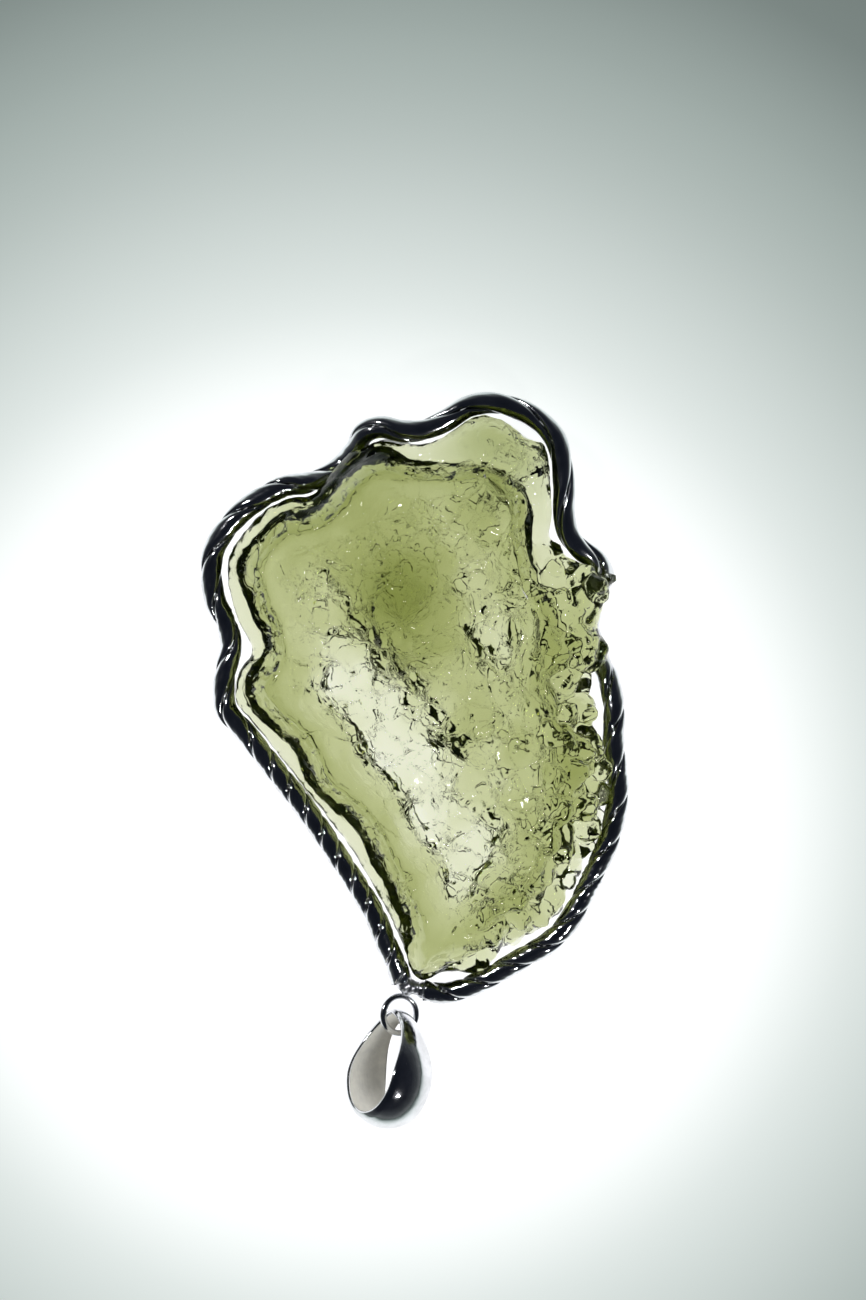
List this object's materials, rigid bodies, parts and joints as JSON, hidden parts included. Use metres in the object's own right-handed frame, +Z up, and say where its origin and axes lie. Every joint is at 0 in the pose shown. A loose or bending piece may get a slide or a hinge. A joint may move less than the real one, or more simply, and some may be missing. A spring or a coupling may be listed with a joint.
{
  "type": "moldavite pendant stone",
  "caption": "Translucent green natural glass stone with a scalloped, pitted top and a stepped rim, framed by twisted silver wire, with a jump ring and a drop-shaped bail that swings.",
  "frame": {"origin": "on the table, under the middle of the whole outline", "axes": "+X across the stone, to the right seen from above with the bail nearest; +Y along it, from the bail towards the top of the stone; +Z up, out of the stone's scalloped side"},
  "size_m": [0.03, 0.0516, 0.0097],
  "materials": {
    "moldavite": "natural glass, bottle green, see-through, slightly uneven",
    "silver": "polished sterling silver with fine scratches",
    "worn_silver": "silver, polished outside and matte inside"
  },
  "bodies": {
    "pendant": {"stone": "moldavite", "frame_strand_a": "silver", "frame_strand_b": "silver", "solder": "silver", "jump_ring": "silver"},
    "bail": {"bail": "worn_silver"}
  },
  "joints": [
    {"name": "bail_swing", "type": "hinge", "parent": "pendant", "child": "bail", "pos_m": [-0.00106, -0.0192, 0.00212], "axis": [0.8829, 0, -0.4695], "range_deg": [-75, 0]}
  ]
}
